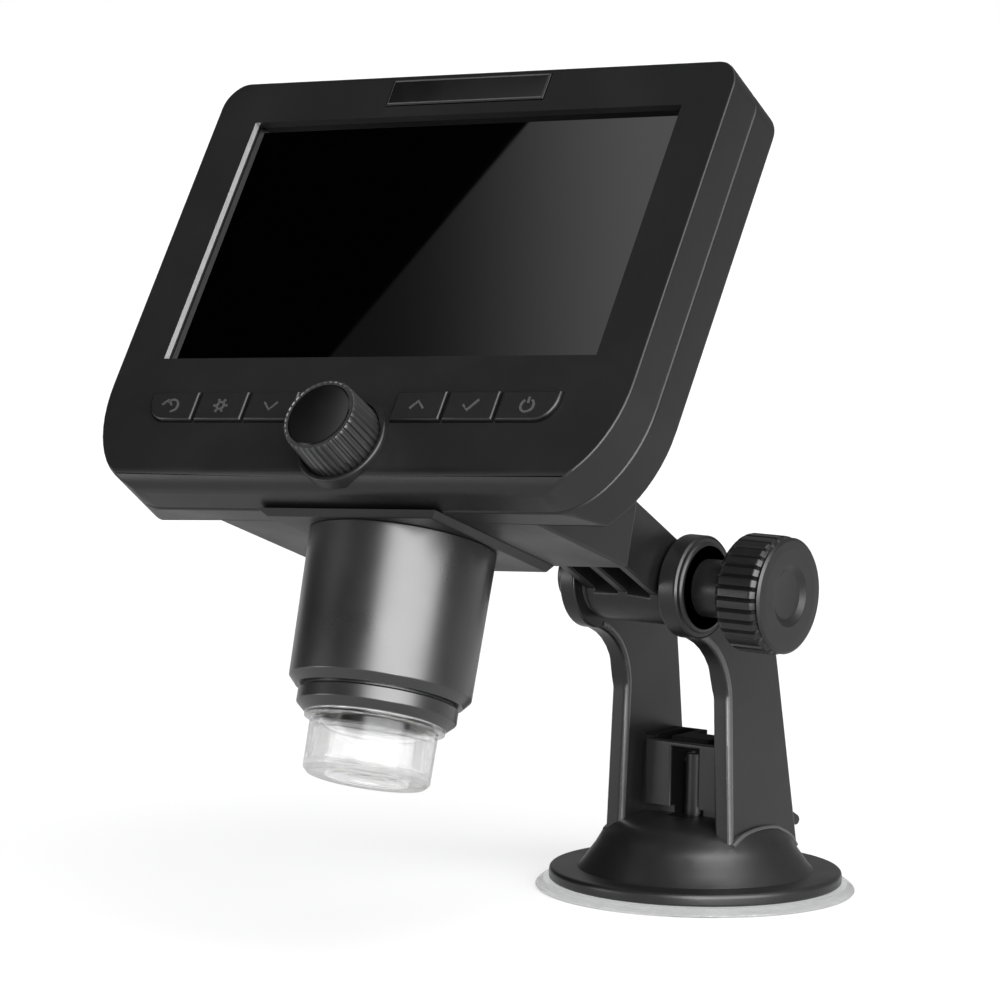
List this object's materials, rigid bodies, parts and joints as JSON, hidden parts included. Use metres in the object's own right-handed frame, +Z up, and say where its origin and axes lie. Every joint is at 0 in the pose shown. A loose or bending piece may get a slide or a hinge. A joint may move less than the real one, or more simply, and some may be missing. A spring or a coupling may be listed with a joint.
{
  "type": "digital microscope",
  "caption": "Screen head with a focusing lens barrel, push buttons and a pull-off clear cap, on a swivelling arm with a clamped hinge and a lever-locked suction foot.",
  "frame": {"origin": "middle of the flat suction face under the foot", "axes": "+X to the viewer's right when facing the screen, the clamp knob's side; +Y away from the viewer; +Z up, off the surface that the foot stands on"},
  "size_m": [0.1214, 0.1684, 0.171],
  "materials": {
    "black_plastic": "fine grained satin",
    "arm_plastic": "satin, glass filled",
    "gloss_black": "polished",
    "screen_glass": "clear over a black border",
    "lcd": "dark, unlit",
    "clear_plastic": "polished clear",
    "clear_rubber": "clear, slightly tacky",
    "board_green": "solder mask",
    "board_black": "solder mask",
    "chip_black": "moulded",
    "shield_steel": "tinned sheet",
    "screw_steel": "zinc plated",
    "brass": "turned",
    "lamp": "diffusing, unlit",
    "lens_glass": "coated",
    "battery_wrap": "shrink wrap",
    "fibre": "pressed fibre"
  },
  "bodies": {
    "stand": {"stand_body": "arm_plastic", "suction_pad": "clear_rubber", "hinge_bolt": "screw_steel", "friction_washers": "fibre", "clamp_washer": "screw_steel", "lever_pin": "screw_steel"},
    "clamp_knob": {"clamp_knob": "arm_plastic", "knob_insert": "brass", "knob_cap": "arm_plastic"},
    "suction_lever": {"suction_lever": "arm_plastic"},
    "pad_stem": {"pad_stem": "arm_plastic", "stem_pin": "screw_steel"},
    "arm": {"tilt_arm": "arm_plastic", "swivel_screw": "screw_steel"},
    "swivel_lock_ring": {"swivel_lock_ring": "arm_plastic"},
    "head": {"front_shell": "black_plastic", "rear_shell": "black_plastic", "battery_cover": "black_plastic", "shell_screws": "screw_steel", "screen_glass": "screen_glass", "label_plate": "gloss_black", "lcd_panel": "lcd", "lcd_frame": "shield_steel", "main_board": "board_green", "processor_chips": "chip_black", "wifi_module": "shield_steel", "usb_socket": "shield_steel", "card_socket": "shield_steel", "key_board": "board_green", "key_switches": "chip_black", "battery": "battery_wrap", "battery_contacts": "shield_steel", "camera_board": "board_green", "image_sensor": "lcd", "mount_plate": "black_plastic", "lens_barrel": "black_plastic", "lens_ring": "black_plastic", "led_board": "board_black", "led_lamps": "lamp"},
    "focus_wheel": {"focus_wheel": "black_plastic", "focus_shaft": "screw_steel", "focus_pinion": "brass"},
    "lens_carriage": {"lens_carriage": "black_plastic", "front_lens": "lens_glass", "back_lens": "lens_glass"},
    "clear_cap": {"clear_cap": "clear_plastic"},
    "play_button": {"play_button": "black_plastic"},
    "mode_button": {"mode_button": "black_plastic"},
    "down_button": {"down_button": "black_plastic"},
    "up_button": {"up_button": "black_plastic"},
    "ok_button": {"ok_button": "black_plastic"},
    "power_button": {"power_button": "black_plastic"}
  },
  "joints": [
    {"name": "arm_tilt", "type": "hinge", "parent": "stand", "child": "arm", "pos_m": [0, -0.0212, 0.0656], "axis": [1, 0, 0], "range_deg": [-45, 22]},
    {"name": "head_swivel", "type": "hinge", "parent": "arm", "child": "head", "pos_m": [0, -0.07028, 0.09439], "axis": [0, 0.8625, -0.506], "range_deg": [-90, 90]},
    {"name": "lock_ring_turn", "type": "hinge", "parent": "arm", "child": "swivel_lock_ring", "pos_m": [0, -0.06769, 0.09288], "axis": [0, 0.8625, -0.506], "range_deg": [0, 180]},
    {"name": "knob_turn", "type": "hinge", "parent": "stand", "child": "clamp_knob", "pos_m": [0.025, -0.0212, 0.0656], "axis": [1, 0, 0], "range_deg": [0, 270]},
    {"name": "lever_lift", "type": "hinge", "parent": "stand", "child": "suction_lever", "pos_m": [0, 0.0054, 0.0224], "axis": [1, 0, 0], "range_deg": [0, 90]},
    {"name": "stem_drop", "type": "slide", "parent": "stand", "child": "pad_stem", "axis": [0, 0, -1], "range_m": [0, 0.0014]},
    {"name": "focus_wheel_turn", "type": "hinge", "parent": "head", "child": "focus_wheel", "pos_m": [0.00158, -0.12383, 0.10111], "axis": [0.0075, 0.8071, -0.5904], "range_deg": [-109, 109]},
    {"name": "focus_slide", "type": "slide", "parent": "head", "child": "lens_carriage", "axis": [-0.0728, 0.3324, 0.9403], "range_m": [-0.006, 0.006]},
    {"name": "cap_pull", "type": "slide", "parent": "head", "child": "clear_cap", "axis": [0.0728, -0.3324, -0.9403], "range_m": [0, 0.012]},
    {"name": "play_press", "type": "slide", "parent": "head", "child": "play_button", "axis": [0.0075, 0.8071, -0.5904], "range_m": [0, 0.0008], "stiffness_N_per_m": 500, "springref_m": -0.0003},
    {"name": "mode_press", "type": "slide", "parent": "head", "child": "mode_button", "axis": [0.0075, 0.8071, -0.5904], "range_m": [0, 0.0008], "stiffness_N_per_m": 500, "springref_m": -0.0003},
    {"name": "down_press", "type": "slide", "parent": "head", "child": "down_button", "axis": [0.0075, 0.8071, -0.5904], "range_m": [0, 0.0008], "stiffness_N_per_m": 500, "springref_m": -0.0003},
    {"name": "up_press", "type": "slide", "parent": "head", "child": "up_button", "axis": [0.0075, 0.8071, -0.5904], "range_m": [0, 0.0008], "stiffness_N_per_m": 500, "springref_m": -0.0003},
    {"name": "ok_press", "type": "slide", "parent": "head", "child": "ok_button", "axis": [0.0075, 0.8071, -0.5904], "range_m": [0, 0.0008], "stiffness_N_per_m": 500, "springref_m": -0.0003},
    {"name": "power_press", "type": "slide", "parent": "head", "child": "power_button", "axis": [0.0075, 0.8071, -0.5904], "range_m": [0, 0.0008], "stiffness_N_per_m": 500, "springref_m": -0.0003}
  ],
  "couplings": [
    {"joint": "focus_slide", "follows": "focus_wheel_turn", "m_per_rad": -0.0031321},
    {"joint": "stem_drop", "follows": "lever_lift", "m_per_rad": 0.00089127}
  ]
}
